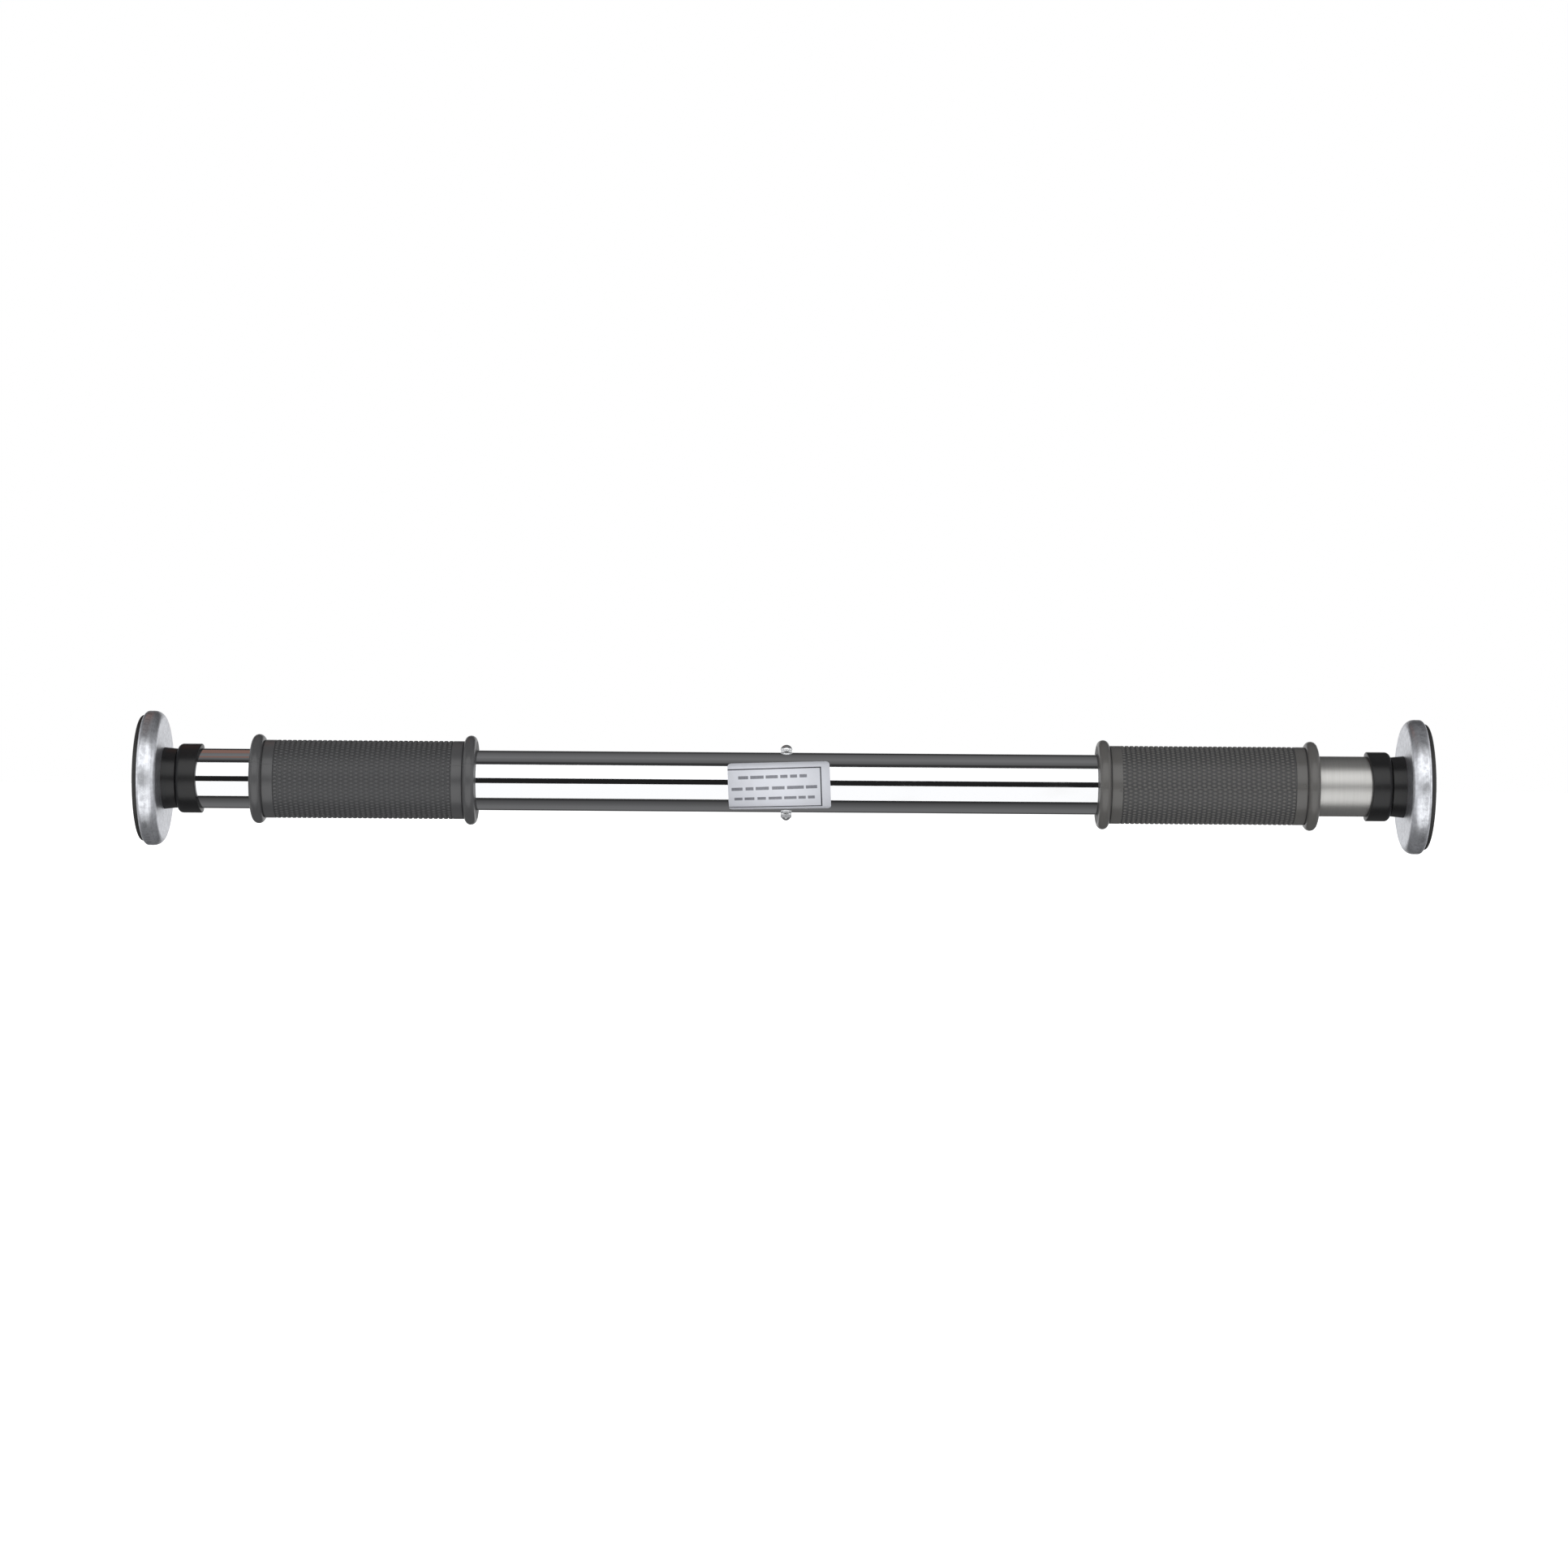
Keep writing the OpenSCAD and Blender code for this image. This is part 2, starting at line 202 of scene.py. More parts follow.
def chromePlate():
    look = {
        "plate": rgb(0.73, 0.735, 0.745), "smudge": rgb(0.67, 0.67, 0.67),
        "gloss": 0.035, "dull": 0.10,
    }
    r = Recipe("chromePlate")
    coords = r.objectCoords()
    smears = r.grain(coords, 38, 5, 0.55, (0.5, 1, 1)).ramp(0.50, 0.78)
    specks = r.grain(coords, 900, 2, 0.5).ramp(0.70, 0.76)
    waves = r.grain(coords, 30, 1, 0.4, (0.35, 1, 1))
    ripple = r.grain(coords, 650, 3, 0.6)                           # fine unevenness of the plating
    return r.surface(
        Base_Color=r.blend(smears * 0.5 + specks * 0.3, look["plate"], look["smudge"]),
        Metallic=1.0,
        Roughness=look["gloss"] + smears * (look["dull"] - look["gloss"]) + specks * 0.06,
        Normal=r.bump(waves + ripple * 0.035, 0.00009, 0.6),
    )


def satinSteel():
    look = {"light": rgb(0.53, 0.525, 0.51), "dark": rgb(0.44, 0.435, 0.42), "gloss": 0.36, "dull": 0.42}
    r = Recipe("satinSteel")
    coords = r.objectCoords()
    rings = r.grain(coords, 1500, 3, 0.65, (1, 0.02, 0.02))         # ground round the tube
    patches = r.grain(coords, 60, 4, 0.6)
    return r.surface(
        Base_Color=r.blend(rings.ramp(0.25, 0.8) * 0.45 + patches * 0.4, look["light"], look["dark"]),
        Metallic=1.0,
        Roughness=look["gloss"] + rings * (look["dull"] - look["gloss"]) + patches * 0.05,
        Normal=r.bump(rings, 0.000004, 0.5),
    )


def cupPlate():
    look = {"light": rgb(0.82, 0.84, 0.88), "dark": rgb(0.52, 0.53, 0.56), "gloss": 0.25, "dull": 0.42}
    r = Recipe("cupPlate")
    coords = r.objectCoords()
    x, radius = r.barPlace(coords)
    lines = r.turningLines(x + radius, 2600.0, 3.0)                 # over the rim and the back alike
    mottle = r.grain(coords, 420, 4, 0.6)
    smears = r.grain(coords, 55, 3, 0.5)
    reach = x.size()
    lip = radius.ramp(34.2, 35.2) * reach.ramp(333.6, 334.6) * (1 - reach.ramp(336.6, 337.4))
    crimp = r.grain(coords, 330, 4, 0.7).ramp(0.40, 0.62) * lip     # marks of the tool that curled the lip
    wear = lines * 0.35 + mottle * 0.65
    return r.surface(
        Base_Color=r.blend(wear.ramp(0.34, 0.68) * 0.8 + crimp * 0.6, look["light"], look["dark"]),
        Metallic=1.0,
        Roughness=look["gloss"] + wear * (look["dull"] - look["gloss"]) + smears * 0.06,
        Normal=r.bump(wear + crimp * 2.0, 0.000016, 0.8),
    )


def innerZinc():
    look = {"light": rgb(0.72, 0.73, 0.75), "dark": rgb(0.50, 0.51, 0.53), "gloss": 0.18, "dull": 0.34}
    r = Recipe("innerZinc")
    coords = r.objectCoords()
    streaks = r.grain(coords, 700, 3, 0.6, (0.02, 1, 1))            # from sliding through the bush
    cloud = r.grain(coords, 70, 4, 0.55)
    return r.surface(
        Base_Color=r.blend(streaks.ramp(0.45, 0.75) * 0.5 + cloud * 0.35, look["light"], look["dark"]),
        Metallic=1.0,
        Roughness=look["gloss"] + streaks * 0.10 + cloud * (look["dull"] - look["gloss"]),
        Normal=r.bump(streaks, 0.00001, 0.5),
    )


def fastenerPlate(name, light, dark, gloss):
    r = Recipe(name)
    coords = r.objectCoords()
    cloud = r.grain(coords, 500, 4, 0.6)
    pits = r.grain(coords, 2600, 2, 0.5).ramp(0.62, 0.72)
    return r.surface(
        Base_Color=r.blend(cloud.ramp(0.4, 0.75) * 0.6 + pits * 0.4, light, dark),
        Metallic=1.0,
        Roughness=gloss + cloud * 0.12 + pits * 0.1,
        Normal=r.bump(cloud, 0.00001, 0.4),
    )


def turnedSteel():
    look = {"light": rgb(0.52, 0.52, 0.53), "dark": rgb(0.30, 0.30, 0.31)}
    r = Recipe("turnedSteel")
    coords = r.objectCoords()
    x, radius = r.barPlace(coords)
    lines = r.turningLines(x + radius, 3000.0, 2.0)
    oil = r.grain(coords, 90, 4, 0.6)
    return r.surface(
        Base_Color=r.blend(lines * 0.5 + oil.ramp(0.45, 0.7) * 0.5, look["light"], look["dark"]),
        Metallic=1.0,
        Roughness=0.22 + lines * 0.14 + oil * 0.08,
        Normal=r.bump(lines, 0.00002, 0.7),
    )


def gripRubber():
    look = {
        # the third tone is painted light: a paler, warmer rubber for the brighter-lit turned grip
        "base": rgb(0.040, 0.0405, 0.042), "worn": rgb(0.070, 0.0702, 0.0715), "paintedLightTone": rgb(0.105, 0.100, 0.090),
        "dull": 0.45, "gloss": 0.25,
    }
    r = Recipe("gripRubber")
    coords = r.objectCoords()
    x, radius = r.barPlace(coords)
    crest = radius.ramp(20.45, 20.80)                               # tops of the pimples, bands and beads
    cloud = r.grain(coords, 60, 4, 0.6)
    pores = r.grain(coords, 2200, 3, 0.6)
    rubber = r.blend(crest * (0.35 + cloud * 0.5) + pores * 0.12, look["base"], look["worn"])
    turned = (x > 0) * (0.08 + crest * 0.42)                        # painted light: the turned grip is painted paler and warmer, most on its crests, in place of the brighter light that falls on it
    return r.surface(
        Base_Color=r.blend(turned, rubber, look["paintedLightTone"]),
        Roughness=look["dull"] - crest * (look["dull"] - look["gloss"]) + cloud * 0.08,
        Normal=r.bump(pores, 0.00004, 0.5),
        Specular_IOR_Level=0.5,
    )


def padRubber():
    look = {"base": rgb(0.009, 0.0088, 0.0086), "dusty": rgb(0.022, 0.0215, 0.021)}
    r = Recipe("padRubber")
    coords = r.objectCoords()
    dust = r.grain(coords, 120, 5, 0.6).ramp(0.42, 0.72)
    pores = r.grain(coords, 1800, 3, 0.6)
    return r.surface(
        Base_Color=r.blend(dust * 0.6 + pores * 0.15, look["base"], look["dusty"]),
        Roughness=0.52 + dust * 0.16,
        Normal=r.bump(pores, 0.00006, 0.6),
    )


def blackPlastic():
    look = {"base": rgb(0.006, 0.006, 0.0065), "scuffed": rgb(0.017, 0.017, 0.018)}
    r = Recipe("blackPlastic")
    coords = r.objectCoords()
    scuffs = r.grain(coords, 90, 5, 0.65, (1, 0.4, 0.4)).ramp(0.5, 0.78)
    texture = r.grain(coords, 2400, 2, 0.5)
    return r.surface(
        Base_Color=r.blend(scuffs * 0.7 + texture * 0.15, look["base"], look["scuffed"]),
        Roughness=0.30 + scuffs * 0.14 + texture * 0.05,
        Normal=r.bump(texture, 0.00002, 0.5),
        Specular_IOR_Level=0.4,
    )


def naturalNylon():
    look = {"base": rgb(0.78, 0.76, 0.70), "greasy": rgb(0.62, 0.58, 0.50)}
    r = Recipe("naturalNylon")
    coords = r.objectCoords()
    stain = r.grain(coords, 160, 4, 0.6).ramp(0.45, 0.75)
    return r.surface(
        Base_Color=r.blend(stain, look["base"], look["greasy"]),
        Roughness=0.42 + stain * 0.12,
        Normal=r.bump(stain, 0.00002, 0.5),
        Subsurface_Weight=0.1,
        Subsurface_Radius=(0.002, 0.002, 0.0015),
    )


sticker = {
    "length": 54.0, "height": 28.6, "corner": 2.2, "skew": 2.4, "thickness": 0.14, "glue": 0.02,
    "centreX": -2.5, "centreAngle": -9.5,
    "rule": 0.7, "right": 22.1, "top": 10.4, "bottom": -11.9,       # the printed frame, open at the left
    "rows": [(5.8, -21.5, 16.0), (-0.2, -25.2, 20.0), (-5.9, -23.9, 18.6)],
    "rowHeight": 1.7, "word": (3.5, 9), "gap": (1.0, 1.7), "seed": 7,
    "sheet": 100.0,        # side of the square that the printed map covers
}


def stickerFilm():
    # printed rows are plain blocks in place of words
    look = {
        "film": rgb(0.585, 0.60, 0.645), "soiled": rgb(0.50, 0.50, 0.52),
        "ink": rgb(0.035, 0.036, 0.045), "grey": rgb(0.13, 0.135, 0.155),
    }
    r = Recipe("stickerFilm")
    coords = r.objectCoords()
    across, up = r.split(r.add("UVMap", {"uv_map": "print"}))[:2]
    u = (across - 0.5) * sticker["sheet"]
    v = (up - 0.5) * sticker["sheet"]

    def block(x0, x1, y0, y1):
        inWidth = (u - (x0 + x1) / 2).size() < (x1 - x0) / 2
        inHeight = (v - (y0 + y1) / 2).size() < (y1 - y0) / 2
        return inWidth * inHeight

    half = sticker["rule"] / 2
    left = -sticker["length"] / 2
    right, top, bottom = sticker["right"], sticker["top"], sticker["bottom"]
    rule = block(left, right + half, top - half, top + half)
    rule = rule.most(block(left, right + half, bottom - half, bottom + half))
    rule = rule.most(block(right - half, right + half, bottom, top))
    draw = random.Random(sticker["seed"])
    words = None
    for y, x0, x1 in sticker["rows"]:
        x = x0
        while x < x1 - 2:
            end = min(x1, x + draw.uniform(*sticker["word"]))
            word = block(x, end, y - sticker["rowHeight"] / 2, y + sticker["rowHeight"] / 2)
            words = word if words is None else words.most(word)
            x = end + draw.uniform(*sticker["gap"])
    dirt = r.grain(coords, 150, 4, 0.6).ramp(0.45, 0.8)
    fibre = r.grain(coords, 1500, 2, 0.5)
    film = r.blend(dirt * 0.25 + fibre * 0.06, look["film"], look["soiled"])
    printed = r.blend(words * (0.75 + fibre * 0.3), film, look["grey"])
    return r.surface(
        Base_Color=r.blend(rule, printed, look["ink"]),
        Roughness=0.34 + fibre * 0.1 + dirt * 0.1,
        Normal=r.bump(fibre, 0.00001, 0.4),
    )


finishes = {
    "chrome_tube": chromePlate(),
    "satin_tube": satinSteel(),
    "inner_tube_zinc": innerZinc(),
    "cup_zinc": cupPlate(),
    "bright_fastener": fastenerPlate("brightNickel", rgb(0.82, 0.83, 0.84), rgb(0.66, 0.67, 0.68), 0.10),
    "zinc_fastener": fastenerPlate("clearZinc", rgb(0.68, 0.69, 0.71), rgb(0.48, 0.49, 0.52), 0.24),
    "inner_steel": turnedSteel(),
    "grip_rubber": gripRubber(),
    "pad_rubber": padRubber(),
    "black_plastic": blackPlastic(),
    "nylon": naturalNylon(),
    "label_film": stickerFilm(),
}
print("finishes:", len(finishes))

slotOf = {part["node"]: part["material_slot"] for part in frame["record"]["subparts"]}
bodyOf = {node: body for body, nodes in frame["record"]["behaviour"]["bodies"].items() for node in nodes}


def toMesh(name, bm):
    mesh = bpy.data.meshes.new(name)
    bm.to_mesh(mesh)
    bm.free()
    return mesh


def addTo(bm, part):
    # puts one bmesh's shapes into another
    mesh = toMesh("part", part)
    bm.from_mesh(mesh)
    bpy.data.meshes.remove(mesh)


def everything(bm):
    return bm.verts[:] + bm.edges[:] + bm.faces[:]


def roundCorner(bm, vert, rounding, segments):
    bmesh.ops.bevel(bm, geom=[vert], offset=rounding, offset_type="OFFSET", affect="VERTICES",
                    segments=segments, profile=0.5, material=-1)


def lathe(corners, steps, closed=True, segments=6):
    # spins a chain of (x, radius, rounding) corners about the bar's axis
    bm = bmesh.new()
    verts = [bm.verts.new((x, 0, radius)) for x, radius, rounding in corners]
    pairs = list(zip(verts, verts[1:])) + ([(verts[-1], verts[0])] if closed else [])
    for pair in pairs:
        bm.edges.new(pair)
    for vert, (x, radius, rounding) in zip(verts, corners):
        if rounding:
            roundCorner(bm, vert, rounding, segments)
    bmesh.ops.spin(bm, geom=bm.verts[:] + bm.edges[:], cent=(0, 0, 0), axis=(1, 0, 0),
                   angle=fullTurn, steps=steps, use_merge=True, use_duplicate=False)
    bmesh.ops.remove_doubles(bm, verts=bm.verts, dist=0.0005)
    return bm


def finishPiece(name, bm, nodes, sharp=38, mirrored=False, weighted=True):
    # from a bmesh in millimetres to a piece that stands for its CAD nodes
    side = -1 if mirrored else 1
    bmesh.ops.scale(bm, vec=(side * mm, mm, mm), verts=bm.verts)
    bmesh.ops.recalc_face_normals(bm, faces=bm.faces)
    for face in bm.faces:
        face.smooth = True
    for edge in bm.edges:
        edge.smooth = edge.calc_face_angle(0) < math.radians(sharp)
    mesh = toMesh(name, bm)
    slot = slotOf[nodes[0]]
    mesh.materials.append(finishes[slot])
    piece = bpy.data.objects.new(name, mesh)
    bpy.context.scene.collection.objects.link(piece)
    if weighted:
        weigh = piece.modifiers.new("evenNormals", "WEIGHTED_NORMAL")
        weigh.keep_sharp = True
    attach(piece, bodyOf[nodes[0]])
    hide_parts(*nodes)
    return piece


def cutWith(bm, tool, operation):
    # cuts one bmesh with another, or keeps what they share, and gives back the result
    shapes = []
    for source in (bm, tool):
        bmesh.ops.recalc_face_normals(source, faces=source.faces)
        shape = bpy.data.objects.new("cutting", toMesh("cutting", source))
        bpy.context.scene.collection.objects.link(shape)
        shapes.append(shape)
    cut = shapes[0].modifiers.new("cut", "BOOLEAN")
    cut.object = shapes[1]
    cut.operation = operation
    cut.solver = "EXACT"
    bpy.context.view_layer.update()
    result = bmesh.new()
    result.from_object(shapes[0], bpy.context.evaluated_depsgraph_get())
    for shape in shapes:
        mesh = shape.data
        bpy.data.objects.remove(shape)
        bpy.data.meshes.remove(mesh)
    bmesh.ops.remove_doubles(result, verts=result.verts, dist=0.0005)
    return result


def pipe(x0, x1, outer, bore, edge, steps):
    corners = [(x0, outer, edge), (x1, outer, edge), (x1, bore, edge), (x0, bore, edge)]
    return lathe(corners, steps, segments=3)


tubeBores = {
    "main_tube": ("mainTube", 14.5),
    "sleeve_tube": ("sleeveTube", 14.0),
    "inner_tube": ("innerTube", 12.5),
}
bush = {"bore": 14.05, "sleeve": 14.5, "flange": 1.2, "leadIn": 0.3, "round": 0.2, "steps": 96}


def makeTubes():
    for node, (name, bore) in tubeBores.items():
        x0, x1 = along(node)
        finishPiece(name, pipe(x0, x1, radiusOf(node), bore, bar["edge"], bar["steps"]), [node])
    x0, x1 = along("guide_bush")
    mouth = x1 - bush["flange"]
    rim = radiusOf("guide_bush")
    corners = [
        (x0, bush["bore"], bush["leadIn"]), (x0, bush["sleeve"], 0), (mouth, bush["sleeve"], 0), (mouth, rim, 0),
        (x1, rim, bush["round"]), (x1, bush["bore"], bush["round"]),
    ]
    finishPiece("guideBush", lathe(corners, bush["steps"], segments=3), ["guide_bush"])
    print("tubes and guide bush made")


grip = {
    "beadWidth": 6.3, "beadHeight": 7.75,
    "crease": 0.35, "creaseDepth": 0.5,
    "band": 5.9, "bandHeight": 4.75, "bandRound": 0.45,
    "pimpleHeight": 0.5, "pimpleLength": 2.35, "pimpleWidth": 1.75, "pimpleRound": 0.42,
    "pimpleTaper": 0.86, "pimpleSides": 10, "pimpleRoot": 0.2, "pimpleProud": 0.02,
    "columns": 35, "around": 62, "endGap": 1.25,
    "fin": 0.3, "finHeight": 0.1, "finLift": 0.3, "pip": 0.6, "boreEdge": 0.3, "steps": 160,
}


def gripOutline(x0, x1):
    # outer corners from one end to the other, as (x, radius, rounding)
    g = grip
    low = bar["radius"] + g["bandHeight"]
    base = low - g["pimpleHeight"]
    crest = bar["radius"] + g["beadHeight"]
    width = g["beadWidth"]
    beadRound = width / 2 - 0.05                                    # a small flat stays on the bead
    crease = low - g["creaseDepth"]
    bandStart = width + g["crease"]
    bandEnd = bandStart + g["band"]
    half = [
        (0, crest, beadRound), (width, crest, beadRound), (width, crease, 0), (bandStart, crease, 0),
        (bandStart, low, g["bandRound"]), (bandEnd, low, g["bandRound"]), (bandEnd + 0.1, base, 0),
    ]
    left = [(x0 + x, radius, rounding) for x, radius, rounding in half]
    right = [(x1 - x, radius, rounding) for x, radius, rounding in reversed(half)]
    return left + right


def pimpleAt(bm, x, radius):
    # an oval button, let into the grip by its root
    g = grip
    depth = g["pimpleHeight"] + g["pimpleRoot"]
    made = bmesh.ops.create_cone(bm, cap_ends=True, cap_tris=False, segments=g["pimpleSides"],
                                 radius1=1, radius2=g["pimpleTaper"], depth=depth)["verts"]
    bmesh.ops.scale(bm, vec=(g["pimpleLength"] / 2, g["pimpleWidth"] / 2, 1), verts=made)
    bmesh.ops.translate(bm, vec=(x, 0, radius - depth / 2), verts=made)
    rim = [e for e in bm.edges if all(v in made and v.co.z > radius - 0.01 for v in e.verts)]
    bmesh.ops.bevel(bm, geom=rim, offset=g["pimpleRound"], offset_type="OFFSET", affect="EDGES", segments=2,
                    profile=0.5, material=-1)


def pimpleField(bm, x0, x1, seam, shift):
    # staggered columns; below the mould seam the columns are shifted along the bar
    g = grip
    top = bar["radius"] + g["bandHeight"] + g["pimpleProud"]
    inset = g["beadWidth"] + g["crease"] + g["band"] + g["endGap"]
    first, last = x0 + inset, x1 - inset
    pitch = (last - first) / (g["columns"] - 1)
    step = fullTurn / g["around"]
    halfRing = g["around"] // 2
    rings = []
    for offset in (0, shift):
        ring = bmesh.new()
        pimpleAt(ring, offset, top)
        bmesh.ops.spin(ring, geom=everything(ring), cent=(0, 0, 0), axis=(1, 0, 0), angle=step * (halfRing - 1),
                       steps=halfRing - 1, use_merge=False, use_duplicate=True)
        rings.append(toMesh("ring", ring))
    for column in range(g["columns"]):
        for half, mesh in enumerate(rings):
            turn = seam + half * math.pi + (0.25 + 0.5 * (column % 2)) * step
            place = Matrix.Translation((first + column * pitch, 0, 0)) @ Matrix.Rotation(turn, 4, "X")
            placed = mesh.copy()
            placed.transform(place)
            bm.from_mesh(placed)
            bpy.data.meshes.remove(placed)
    for mesh in rings:
        bpy.data.meshes.remove(mesh)


def seamFin(bm, outline, angle):
    # thin flash line where the mould halves met, all along the grip
    g = grip
    field = bar["radius"] + g["bandHeight"] - g["pimpleHeight"]
    fin = bmesh.new()
    verts = []
    for x, radius, rounding in outline:
        lift = g["finLift"] if abs(radius - field) < 0.01 else 0    # higher between the pimples
        verts.append(fin.verts.new((x, 0, radius + g["finHeight"] + lift)))
    feet = [fin.verts.new((outline[end][0], 0, bar["radius"] + 1)) for end in (-1, 0)]
    loop = verts + feet
    for pair in zip(loop, loop[1:] + loop[:1]):
        fin.edges.new(pair)
    for vert, (x, radius, rounding) in zip(verts, outline):
        if rounding:
            roundCorner(fin, vert, rounding, 8)
    face = bmesh.ops.contextual_create(fin, geom=fin.edges[:])["faces"]
    made = bmesh.ops.extrude_face_region(fin, geom=face, use_keep_orig=True)["geom"]
    farSide = [part for part in made if isinstance(part, bmesh.types.BMVert)]
    bmesh.ops.translate(fin, vec=(0, g["fin"], 0), verts=farSide)
    bmesh.ops.translate(fin, vec=(0, -g["fin"] / 2, 0), verts=fin.verts)
    bmesh.ops.rotate(fin, cent=(0, 0, 0), matrix=Matrix.Rotation(angle, 3, "X"), verts=fin.verts)
    addTo(bm, fin)


def fromFront(elevation):
    # a turn about X that brings the top to an elevation, in degrees, above the front
    return math.pi / 2 - math.radians(elevation)


def makeGrip(name, node, seamAt, shift, pips, bore):
    g = grip
    x0, x1 = along(node)
    outline = gripOutline(x0, x1)
    inner = [(x1, bar["radius"] + bore[1], g["boreEdge"]), (x0, bar["radius"] + bore[0], g["boreEdge"])]
    bm = lathe(outline + inner, g["steps"])
    seam = fromFront(seamAt)
    pimpleField(bm, x0, x1, seam, shift)
    for angle in (seam, seam + math.pi):
        seamFin(bm, outline, angle)
    for x, elevation in pips:
        pip = bmesh.ops.create_icosphere(bm, subdivisions=2, radius=g["pip"])["verts"]
        bmesh.ops.scale(bm, vec=(1, 1, 0.5), verts=pip)
        bmesh.ops.translate(bm, vec=(x, 0, bar["radius"] + g["bandHeight"]), verts=pip)
        bmesh.ops.rotate(bm, cent=(0, 0, 0), matrix=Matrix.Rotation(fromFront(elevation), 3, "X"), verts=pip)
    finishPiece(name, bm, [node], sharp=50)


def makeGrips():
    snug, clear = 0.02, 0.3                                         # the right grip turns clear of the chrome tube
    makeGrip("leftGrip", "left_grip", 22, 0.0, [], (snug, snug))
    makeGrip("rightGrip", "right_grip", -4.5, -0.6, [(274.3, 1), (177.8, -8.5)], (clear, snug))
    print("grips made")


cap = {"mouthRound": 0.7, "shoulder": 2.7, "scallop": 2.0, "reach": 7.5, "bore": 16.02, "steps": 144}
hub = {"flare": 0.7, "edge": 0.35, "hole": 4.5}
cup = {"wall": 1.2, "corner": 5.5, "lip": 2.1, "hole": 4.5, "steps": 192}
pad = {
    "edge": 1.6, "grooves": [11.0, 17.5, 24.0], "grooveWidth": 2.2, "grooveDepth": 0.9,
    "grooveSlope": 0.5, "grooveRound": 0.3, "dish": 5.0, "dishDepth": 1.2, "dishRound": 0.4,
    "well": 7.0, "wellRadius": 8.0, "taper": 4.0, "taperLength": 3.0, "steps": 160,
}


def makeEndCap(side, mirrored):
    node = side + "_end_cap"
    x0, x1 = along("right_end_cap")
    outer = radiusOf("right_end_cap")
    skirtEnd = bar["tubeEnd"]
    corners = [
        (x0, cap["bore"], 0), (x0, outer, cap["mouthRound"]), (x1, outer, cap["shoulder"]),
        (x1, hub["hole"], 0), (skirtEnd, hub["hole"], 0), (skirtEnd, cap["bore"], 0),
    ]
    bm = lathe(corners, cap["steps"], segments=8)
    arc = (outer ** 2 + cap["scallop"] ** 2) / (2 * cap["scallop"])
    for vert in bm.verts:                                           # the mouth is cut back at front and rear
        share = max(0.0, 1 - (vert.co.x - x0) / cap["reach"])
        vert.co.x += share * (arc - math.sqrt(arc ** 2 - vert.co.y ** 2))
    finishPiece(side + "EndCap", bm, [node], mirrored=mirrored)


def makeHub(side, mirrored):
    x0, x1 = along("right_hub")
    wide = radiusOf("right_hub")
    corners = [(x0, hub["hole"], 0), (x0, wide - hub["flare"], hub["edge"]), (x1, wide, 0), (x1, hub["hole"], 0)]
    finishPiece(side + "Hub", lathe(corners, cap["steps"], segments=4), [side + "_hub"], mirrored=mirrored)


def makeCup(side, mirrored):
    x0, x1 = along("right_cup")
    outer = radiusOf("right_cup")
    wall = cup["wall"]
    lipIn = outer - cup["lip"]
    corners = [
        (x0, cup["hole"], 0), (x0, outer, cup["corner"]), (x1, outer, cup["lip"] - 0.02), (x1, lipIn, 0),
        (x1 - wall, lipIn, 0), (x1 - wall, outer - wall, cup["lip"] - wall),
        (x0 + wall, outer - wall, cup["corner"] - wall), (x0 + wall, cup["hole"], 0),
    ]
    finishPiece(side + "Cup", lathe(corners, cup["steps"], segments=10), [side + "_cup"], mirrored=mirrored)


def makePad(side, mirrored):
    p = pad
    x0, x1 = along("right_pad")
    wellFloor = along("right_cup")[0] + p["well"]                   # the bolt's head stands in the well
    rim = radiusOf("right_pad")
    corners = [
        (wellFloor, 0, 0), (wellFloor, p["wellRadius"], 0), (x0, p["wellRadius"], 0), (x0, rim - p["taper"], 0),
        (x0 + p["taperLength"], rim, 0), (x1, rim, p["edge"]),
    ]
    floor = x1 - p["grooveDepth"]
    for radius in reversed(p["grooves"]):
        outer = radius + p["grooveWidth"] / 2
        inner = radius - p["grooveWidth"] / 2
        corners += [
            (x1, outer, p["grooveRound"]), (floor, outer - p["grooveSlope"], p["grooveRound"]),
            (floor, inner + p["grooveSlope"], p["grooveRound"]), (x1, inner, p["grooveRound"]),
        ]
    dishFloor = x1 - p["dishDepth"]
    corners += [
        (x1, p["dish"], p["dishRound"]), (dishFloor, p["dish"] - p["dishDepth"], p["dishRound"]), (dishFloor, 0, 0),
    ]
    bm = lathe(corners, p["steps"], closed=False, segments=5)
    finishPiece(side + "Pad", bm, [side + "_pad"], mirrored=mirrored)


def makeFeet():
    for side, mirrored in (("left", True), ("right", False)):
        makeEndCap(side, mirrored)
        makeHub(side, mirrored)
        makeCup(side, mirrored)
        makePad(side, mirrored)
    print("caps, hubs, cups and pads made")


bolt = {
    "shank": 2.0, "head": 3.2, "side": 0.55, "slotWidth": 1.0, "slotDepth": 1.3, "segments": 64,
    "washer": 1.2, "washerRadius": 2.9, "washerHole": 2.15, "washerRound": 0.15, "holeEdge": 0.1,
    "flats": 5.8, "nutSide": 1.5, "nutRadius": 3.4, "nutChamfer": 2.55, "domeRadius": 2.35,
}


def upright(bm, x):
    # stands a shape turned about the bar's axis up along Z at x
    bmesh.ops.rotate(bm, cent=(0, 0, 0), matrix=Matrix.Rotation(-math.pi / 2, 3, "Y"), verts=bm.verts)
    bmesh.ops.translate(bm, vec=(x, 0, 0), verts=bm.verts)


def dome(base, top, radius, count=10):
    # corners of a cap from (base, radius) up to (top, 0)
    height = top - base
    curve = (radius ** 2 + height ** 2) / (2 * height)
    reach = math.asin(min(1, radius / curve))
    corners = []
    for i in range(count + 1):
        angle = reach * (1 - i / count)
        corners.append((top - curve + curve * math.cos(angle), curve * math.sin(angle), 0))
    return corners


